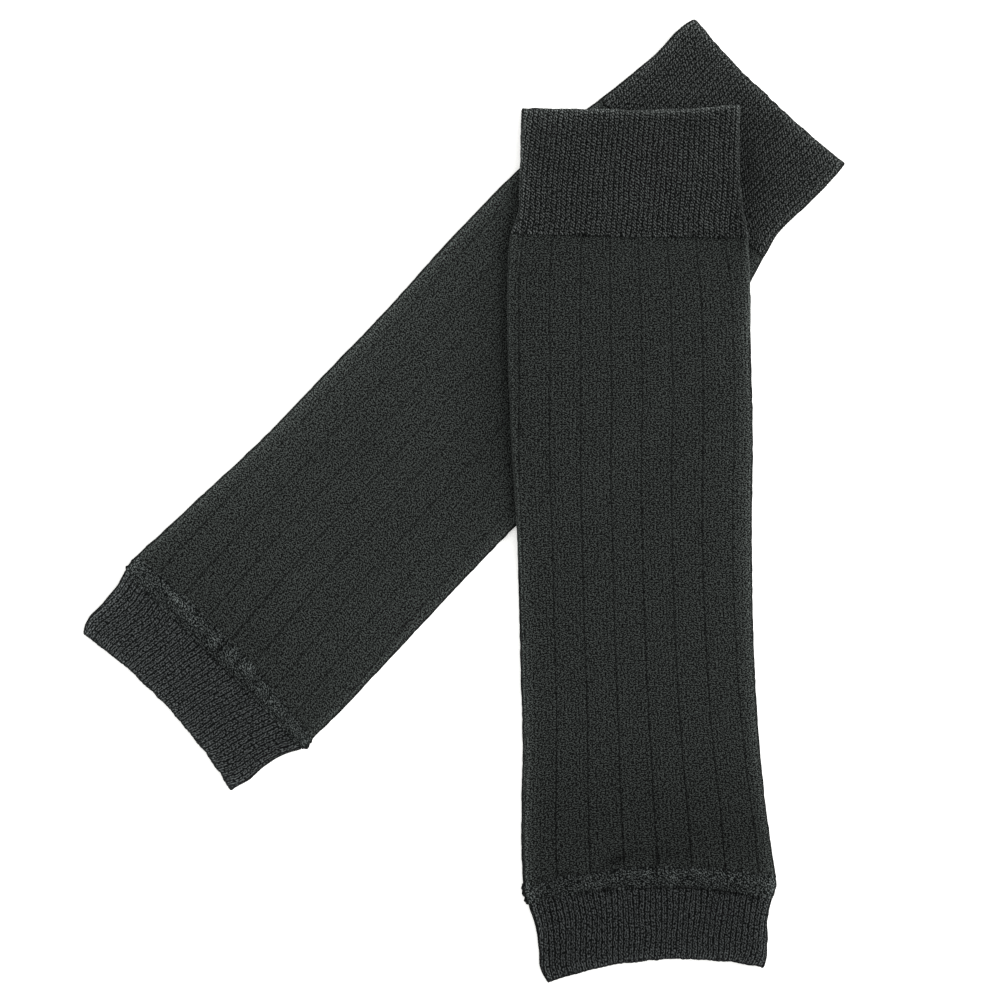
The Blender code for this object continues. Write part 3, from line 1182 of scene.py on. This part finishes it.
def charcoal(
    tones: tuple[float, float, float, float], sunk_level: tuple[float, float], fuzz: float
) -> tuple[KnittedYarn, ...]:
    """Mix the finishes of one leg warmer.

    Args:
        tones: How light the yarn is beside the usual, in its top cuff, leg, seam and ankle cuff.
        sunk_level: Least and most yarn that shows at the bottom of the leg's sunk wales, where the rest is
            painted shade.
        fuzz: How light its loose fibres are beside the usual.

    Returns:
        The finishes of its top cuff, leg, ankle seam and ankle cuff.
    """
    top_tone, leg_tone, seam_tone, ankle_tone = tones
    welt = KnittedYarn(
        "welt_rib", pit="#030404", yarn="#1B1D1C", fibre="#4D504F", tone=top_tone, fuzz=fuzz, bump=0.25,
        slant=1.2, gap=0.22, gap_level=(0.1, 0.38), cleft=0.62, dip_level=0.28,
        chance=(0.85, 1.15), grain=(-0.3, 2.3), tuft=(0.42, 0.8), step=0.65, warp=0.07,
    )
    leg = PlainKnitYarn(
        "plain_knit", pit="#040404", yarn="#1A1C1B", fibre="#3C403E", tone=leg_tone, fuzz=fuzz, bump=0.2,
        slant=1.2, gap=0.25, gap_level=(0.42, 0.6), cleft=1.0, dip_level=0.35,
        chance=(0.85, 1.15), grain=(-0.1, 2.1), tuft=(0.6, 0.6), step=0.5, warp=0.2,
        repeat=9, channel=0.6, channel_level=sunk_level, deeper=0.3, deep_courses=230.0,
    )
    seam = KnittedYarn(
        "seam_loops", pit="#040505", yarn="#191C1B", fibre="#484C4B", tone=seam_tone, fuzz=fuzz, bump=0.25,
        slant=0.8, gap=0.25, gap_level=(0.1, 0.9), cleft=1.0, dip_level=0.2,
        chance=(0.5, 1.5), grain=(-0.5, 2.5), tuft=(0.65, 0.65), step=1.0, warp=0.3,
    )
    ankle = KnittedYarn(
        "ankle_rib", pit="#040505", yarn="#191B1B", fibre="#474A4A", tone=ankle_tone, fuzz=fuzz, bump=0.25,
        slant=1.4, gap=0.24, gap_level=(-0.15, 0.2), cleft=0.42, dip_level=0.6,
        chance=(0.9, 1.1), grain=(-0.3, 2.3), tuft=(0.4, 0.9), step=0.6, warp=0.05,
    )
    return welt, leg, seam, ankle


def back_warmer() -> LegWarmer:
    """The back leg warmer, which lies on the floor."""
    sides = Profile(
        (-3, -44.6, 47.2), (3, -48.2, 49), (14, -49.2, 50.1), (23, -49.9, 52.3), (31, -51.8, 56.3),
        (39, -53.1, 56.4), (52, -52.5, 56.7), (75, -51.7, 56.1), (110, -50.2, 55.1), (150, -50.6, 54.2),
        (190, -51.2, 54), (225, -52.9, 53.8), (270, -53.4, 53.5), (306, -51.7, 52.7), (320, -49.5, 48.9),
        (331, -48, 46.1), (350, -46.4, 46.1), (369, -46.1, 45.8), (373, -44.9, 45.3),
    )
    wales = Profile(
        (0, -4, 0), (15, -1.3, 0), (32, 1.7, 0), (42, 1.3, -0.005), (52, 0.6, -0.009), (70, -0.8, 0.01),
        (92, -2.4, 0.02), (117, -3, 0.025), (142, -4.2, 0.03), (167, -4.8, 0.041), (192, -5.6, 0.062),
        (217, -6.2, 0.07), (275, -7.6, 0.07), (371, -8, 0),
    )
    lumps = (
        (-36, 1.8, 3, 1.3, 0.7), (-35, 5.2, 3.5, 1.7, 0.6), (-18, 5, 7.5, 1.6, 0.6),
        (-3.8, 3.9, 1.8, 2.2, 0.8), (2.5, 4.8, 2, 2.2, 0.7), (8.8, 5.2, 2.2, 2.3, 0.7),
        (15.6, 4.2, 2.2, 2.2, 0.5), (21.6, 3.6, 3, 2.4, 0.6), (31, 3.6, 3.4, 2.6, 0.6),
        (37, 2.6, 2.6, 1.8, 1), (37.5, 6.4, 2.6, 1.2, 0.8), (50, 4, 6, 2.4, 0.5), (66, 3.4, 3, 2.4, 0.4),
        (85, 4.2, 8, 2.2, 0.5),
    )
    creases = Crease.several(
        (48, 12, 88, 16, 4, 0.45), (47, -22, 95, 9, 3, 0.3), (46.5, 36, 84, 8, 3.5, 0.25),
        (58, -34, 60, 13, 4.5, 0.35), (74, 24, 112, 12, 5, 0.22), (112, -30, 18, 24, 5, 0.25),
        (143, -17, 130, 10, 5.5, 0.35), (170, -41, 6, 30, 5, -0.15), (196, -24, 150, 17, 6, 0.2),
        (352, 30, 25, 13, 5, 0.3), (349, -32, 155, 9, 4, 0.25),
    )
    under_creases = Crease.several(
        (50, -8, 92, 19, 4, 0.3), (83, 27, 64, 14, 5, 0.25), (131, -22, 124, 16, 6, 0.3),
        (205, 12, 28, 26, 5.5, 0.2), (268, -15, 102, 12, 4.5, 0.35), (303, 22, 76, 9, 4, 0.2),
        (347, 5, 140, 11, 5, 0.25),
        layer=Layer.UNDER,
    )
    painted_shades = PaintedShade.several(
        # Painted shadow of the front one, and painted shade and light on the leg and the cuffs.
        (55, 0, 90, 90, 14, -0.05), (14, 52, 0, 26, 6, -0.35), (120, 56, 0, 75, 6, -0.25),
        (120, -40, 0, 90, 8, 0.08), (195, 6, 136, 62, 13, -0.2), (345, 22, 136, 30, 11, -0.18),
        (341, 18, 135, 26, 4.5, -0.35), (340, 48, 0, 32, 6, -0.3), (143, -17, 130, 9, 6, -0.09),
        (49, 10, 88, 13, 4, -0.12), (150, -44, 0, 75, 9, 0.1), (140, 20, 0, 70, 13, -0.07),
        (13, -30, 90, 30, 11, 0.13),
        # The ankle seam: painted highlights on its lumps, and painted shade between them and in the line
        # above it.
        (38.2, -25, 93, 11, 2.1, 0.4), (38.5, -27, 92, 5, 1, 0.3), (37.3, -16, 95, 4.5, 1.2, 0.45),
        (35.3, -7.7, 20, 1.6, 1.4, -0.7), (36.5, -4.1, 0, 2.6, 2.2, 0.6), (35.9, 0.8, 0, 2.4, 1.2, -0.8),
        (37.6, 5.4, 0, 3, 2.4, 0.6), (37.6, 10.2, 0, 2.4, 0.9, -0.6), (38.2, 14.8, 0, 3.2, 2.5, 0.6),
        (37.4, 21.3, 30, 2, 1.1, -0.75), (36.9, 25.5, 0, 2.8, 2, 0.35), (37.5, 29.6, 0, 2.4, 0.8, -0.35),
        (35.9, 34.5, 80, 4.4, 3, 0.6), (36.5, 41.8, 0, 2.2, 0.9, -0.5), (36, 48, 90, 5.5, 3.4, 0.7),
        (39.9, 1, 100, 3.5, 1.2, -0.55), (40.6, -7, 90, 3, 1.4, -0.4), (41.2, 20, 92, 4, 0.8, -0.4),
        (41.2, 38, 92, 7, 0.7, -0.3), (40.6, -4, 90, 44, 1.3, 0.25), (43.5, 0, 90, 60, 1.4, -0.15),
        (31.4, 0, 90, 60, 0.9, -0.2),
        # Painted shade in the sunk wales above the seam.
        (64, -41.7, -2, 17, 0.55, -0.15), (64, -27.5, -4, 17, 0.55, -0.15),
        (64, -13.7, -4, 17, 0.55, -0.12), (62, 0, -5, 15, 0.55, -0.28), (62, 13.9, -6, 15, 0.55, -0.15),
        (72, 39.8, -3, 14, 0.55, -0.15),
        # Painted shade in the gaps below the seam.
        (33.4, -24, 91, 7, 0.7, -0.5), (34, -42, 90, 5, 3, 0.25), (31.6, -2, 90, 6, 1, -0.4),
        (33, 25, 88, 11, 0.6, -0.6), (33.7, 40.5, 88, 4, 0.6, -0.6),
    )
    cuff_join = CrossLine(320.0, 0.5, 0.5)
    return LegWarmer(
        name="back",
        ground=Ground(-44.7, hem_centre=(-130.5, -89.0), sides=sides, cuff_join=cuff_join),
        hem=CrossLine(2.2, -1.5, -4.8),
        seam_low=CrossLine(31.8, -0.2, -1.0),
        seam_high=CrossLine(41.2, -1.4, -3.7),
        top=CrossLine(371.2, 0.6, 2.2),
        wales=wales,
        ribs=(88, 89),
        lumps=lumps,
        creases=creases + under_creases,
        painted_shades=painted_shades,
        sags=(Sag(372.0, -20.0, 90.0, 14.0, 14.0, 0.5),),
        # The back one's tones are lighter than the front one's: painted light, where more light fell on it.
        finishes=charcoal((1.02, 1.138, 1.2, 1.105), sunk_level=(0.31, 1.21), fuzz=1.03),
        seed=200,
    )


def front_warmer(under: Ground) -> LegWarmer:
    """The front leg warmer, which lies across the back one."""
    sides = Profile(
        (-2, -47.5, 43.6), (2, -49.8, 46.3), (12, -50.7, 48), (22, -51.9, 48.5), (30, -54.2, 50.3),
        (37, -56.2, 52.4), (50, -56.9, 51.3), (75, -56.2, 48.8), (100, -55, 47.2), (135, -54.8, 46.2),
        (190, -54.6, 47), (230, -55.7, 48.6), (270, -56, 48.9), (308, -54.7, 49), (319, -53.6, 48.5),
        (328, -50.2, 47), (345, -48.7, 46.1), (374, -46.9, 47.1),
    )
    wales = Profile(
        (0, -0.4, -0.02), (36, 1.8, -0.03), (50, 1.6, -0.05), (70, 1, -0.054), (97, 0.2, -0.038),
        (125, -0.4, -0.02), (155, -0.8, -0.011), (185, -0.6, -0.005), (215, -0.2, 0), (245, 1, 0.01),
        (275, 1.6, 0.023), (290, 1.7, 0.027), (305, 1.6, 0.05), (316, 1.6, 0.07), (332, 3.2, 0),
        (374, 7.4, 0),
    )
    lumps = (
        (-36.5, 0.9, 3, 1.1, 1), (-36.5, 3.6, 3, 1.4, 1), (-37, 6.2, 3, 0.9, 0.9),
        (-19.5, 2.6, 5.5, 1.4, 0.4), (-12.4, 4, 2.4, 1.6, 0.3), (-5, 4.3, 3.4, 1.9, 0.45),
        (3.7, 3.4, 1.9, 2.3, 0.65), (10.9, 5.2, 2.4, 1.5, 0.4), (9.1, 1.9, 2.6, 1.2, 0.3),
        (22.5, 4.6, 6.5, 1.5, 0.45), (30.6, 3.6, 2.4, 2.6, 0.4), (36.5, 1, 3, 1, 0.7),
        (36.5, 3.6, 3, 1.3, 1), (36.5, 6.4, 3, 0.9, 0.7), (49, 3.6, 5, 2.2, 0.4), (70, 3.8, 7, 2.2, 0.5),
        (90, 3.2, 4, 2.2, 0.4),
    )
    creases = Crease.several(
        (52, -4, 92, 24, 4, 0.45), (55, 27, 84, 12, 3.5, 0.3), (57, -36, 104, 10, 4, 0.35),
        (71, 10, 78, 17, 5, 0.25), (96, 30, 40, 15, 5, 0.25), (128, -37, 165, 22, 4.5, 0.2),
        (176, 39, 2, 38, 5, -0.18), (218, -42, 172, 26, 5, 0.3), (255, 26, 28, 17, 6, 0.35),
        (287, -18, 70, 12, 5, 0.2), (340, -26, 118, 12, 6, 0.25), (348, 33, 12, 14, 5, 0.3),
        (20, -14, 8, 10, 5, 0.25),
    )
    under_creases = Crease.several(
        (54, 11, 88, 21, 4, 0.35), (78, -24, 115, 13, 5, 0.25), (142, 20, 22, 22, 5.5, 0.3),
        (199, -19, 98, 15, 5, 0.2), (246, -8, 132, 18, 6, 0.25), (293, 25, 66, 10, 4, 0.35),
        (346, -12, 30, 12, 5, 0.25),
        layer=Layer.UNDER,
    )
    painted_shades = PaintedShade.several(
        # The ankle seam: painted shade in the gaps below it and the dents above it, and painted highlights
        # on its lumps.
        (37.6, 3, 90, 21, 0.6, -0.65), (37.1, 31, 91, 15, 0.6, -0.65), (37.9, -29, 90, 5, 0.6, -0.6),
        (37.8, -21, 88, 3, 0.6, -0.75), (38.2, -46, 90, 4, 0.6, -0.5), (44, 8, 90, 34, 1.8, 0.2),
        (49.9, -16, 74, 7, 1.4, -0.7), (46.9, -39, 88, 5, 1.2, -0.5), (50.7, 5.1, 90, 12, 2.8, -0.18),
        (46.8, 23.8, 95, 4.5, 1.1, -0.45), (48.2, 1.1, 0, 5, 0.7, -0.4), (52.7, 15.9, 0, 6, 0.7, -0.3),
        (56.1, -12.8, 0, 6, 0.6, -0.3), (41.7, 7.4, 0, 2.8, 2.6, 0.5), (43.1, -4, 90, 2.6, 1.3, 0.45),
        (38.9, -6.1, 90, 3, 0.9, 0.35), (43.9, -11.1, 90, 1.8, 1.5, 0.3), (44.6, 18.2, 90, 2.8, 1.4, 0.35),
        (39.8, 15.5, 90, 4.5, 1, 0.25), (43.4, 36.2, 94, 10, 1.1, 0.35), (40.6, -28, 88, 7, 1.1, 0.45),
        (42.3, -17.1, 90, 2.5, 1.5, 0.2), (42.4, 48.5, 0, 4, 4.5, 0.5), (40.5, -53, 90, 3.5, 2, 0.3),
        (41.4, 12.1, 0, 2, 0.8, -0.45), (44.5, 0.6, 0, 2.4, 0.8, -0.6), (40.4, 34.3, 96, 2.2, 0.6, -0.5),
        (39.5, -14.7, 90, 2.4, 1.2, -0.3), (40.9, 20.6, 0, 1.5, 0.7, -0.3),
        # Painted shade and light on the leg and the cuffs, along their side folds and top edge.
        (115, -56, 0, 75, 3.5, 0.5), (235, -55, 0, 60, 5, -0.35), (205, 42, 0, 75, 10, 0.15),
        (367, 32, 90, 18, 4, -0.2), (366, -40, 90, 14, 4, 0.16), (345, 48, 0, 34, 6, -0.7),
        (370, -34, 90, 18, 5, 0.12), (370, 10, 90, 22, 3, -0.3), (372, 14, 91, 33, 1, 0.25),
        (372, -12, 91, 6, 1.6, 0.5), (372, 34, 90, 6, 1.6, 0.4), (330, -54, 0, 60, 3, -0.3),
        (332, -49.5, 0, 14, 3, -0.3), (66, 0, 90, 90, 26, -0.2), (52, 4, 90, 24, 4.5, -0.08),
        (60, 20, 80, 20, 6, -0.1), (255, 26, 28, 18, 8, -0.06), (6, -48, 0, 30, 7, -0.2),
        # The line below the top cuff: spots of painted shade, and painted light along most of it.
        (317.6, -47, 90, 9, 1.2, 0.3), (324, 46.5, 0, 12, 3, -0.35), (317.2, 4, 90, 44, 0.9, 0.35),
        (317.5, -34.7, 60, 2.2, 0.7, -0.5), (317.2, -21, 90, 2.8, 0.8, -0.6),
        (317.4, -10.5, 90, 4, 0.5, -0.3), (317.4, -1.5, 90, 2, 0.6, -0.3), (317.4, 12.5, 90, 2, 0.7, -0.3),
        (316.8, 21.5, 92, 4, 0.6, -0.45), (318.4, 27, 85, 2.5, 0.7, -0.6), (317.2, 38.2, 90, 2, 0.8, -0.5),
        (318.6, 42, 0, 2, 0.6, -0.6),
    )
    cuff_join = CrossLine(317.6, -2.6, 0.5)
    return LegWarmer(
        name="front",
        ground=Ground(1.8, hem_centre=(83.6, -203.8), sides=sides, cuff_join=cuff_join, under=under),
        hem=CrossLine(5.9, 1.9, -6.6),
        seam_low=CrossLine(37.7, -0.6, -5.8),
        seam_high=CrossLine(46.0, 0.2, -6.0),
        top=CrossLine(371.8, -1.1, 1.7),
        wales=wales,
        ribs=(89, 89),
        lumps=lumps,
        creases=creases + under_creases,
        painted_shades=painted_shades,
        sags=(Sag(374.0, 14.0, 90.0, 14.0, 14.0, 1.5),),
        # Its tones are darker than the back one's: painted shade.
        finishes=charcoal((0.82, 0.8, 0.845, 0.676), sunk_level=(0.0, 1.0), fuzz=1.2),
        seed=300,
    )


# ---------------------------------------------------------------- studio
@dataclass(frozen=True)
class Studio:
    """A plain pale floor, soft light from all sides, and a camera straight above.

    Attributes:
        floor_colour: Colour of the floor.
        floor_glow: Light that comes up through it, as it does through a light table.
        sky: Strength of the soft light all round.
        key: Power of the large lamp, in watts.
        key_at: Where the lamp stands.
        key_size: Its side.
        centre: What the camera looks down on.
        camera_height: How high it stands.
        lens: Its focal length, in millimetres.
    """

    floor_colour: str = "#FAFAF8"
    floor_glow: float = 0.35
    sky: float = 1.05
    key: float = 32.0
    key_at: tuple[float, float, float] = (1.35, 0.5, 0.85)
    key_size: float = 0.9
    centre: tuple[float, float] = (0.01591, 0.00023)
    camera_height: float = 1.198
    lens: float = 100.0

    SENSOR: ClassVar[float] = 36.0  # breadth of the camera's sensor, in millimetres
    FLOOR_SIDE: ClassVar[float] = 8.0

    def build(self) -> None:
        """Build the floor, the light and the camera."""
        self.floor()
        self.light()
        self.camera()

    def floor(self) -> None:
        """Lay the floor."""
        half = self.FLOOR_SIDE / 2
        mesh = bpy.data.meshes.new(FLOOR_NAME)
        corners = [(-half, -half, 0), (half, -half, 0), (half, half, 0), (-half, half, 0)]
        mesh.from_pydata(corners, [], [(0, 1, 2, 3)])
        floor = bpy.data.objects.new(FLOOR_NAME, mesh)
        bpy.context.scene.collection.objects.link(floor)
        material = bpy.data.materials.new("matt_paper")
        material.use_nodes = True
        paper = {
            "Base Color": linear(self.floor_colour),
            "Roughness": 1.0,
            "Specular IOR Level": 0.0,
            "Emission Color": linear(self.floor_colour),
            "Emission Strength": self.floor_glow,
        }
        feed(material.node_tree.nodes["Principled BSDF"], paper)
        mesh.materials.append(material)

    def light(self) -> None:
        """Light it softly all round, and a little more from the upper right."""
        world = bpy.data.worlds.new("soft_white_room")
        world.use_nodes = True
        white = {"Color": linear("#FFFFFF"), "Strength": self.sky}
        feed(world.node_tree.nodes["Background"], white)
        bpy.context.scene.world = world
        lamp = bpy.data.lights.new("key", "AREA")
        lamp.energy = self.key
        lamp.size = self.key_size
        key = bpy.data.objects.new("key", lamp)
        key.location = self.key_at
        aim = -key.location.normalized()
        key.rotation_euler = aim.to_track_quat("-Z", "Y").to_euler()
        bpy.context.scene.collection.objects.link(key)

    def camera(self) -> None:
        """Stand the camera straight above the pair."""
        camera = bpy.data.cameras.new("camera")
        camera.lens = self.lens
        camera.sensor_width = self.SENSOR
        stand = bpy.data.objects.new("camera", camera)
        stand.location = (*self.centre, self.camera_height)
        bpy.context.scene.collection.objects.link(stand)
        bpy.context.scene.camera = stand


def main() -> None:
    """Build the studio and both leg warmers."""
    logging.basicConfig(level=logging.INFO, format="%(message)s")
    bpy.context.scene.view_settings.view_transform = "Standard"
    Studio().build()
    back = back_warmer()
    back.build()
    front_warmer(back.ground).build()


if __name__ == "__main__":
    main()
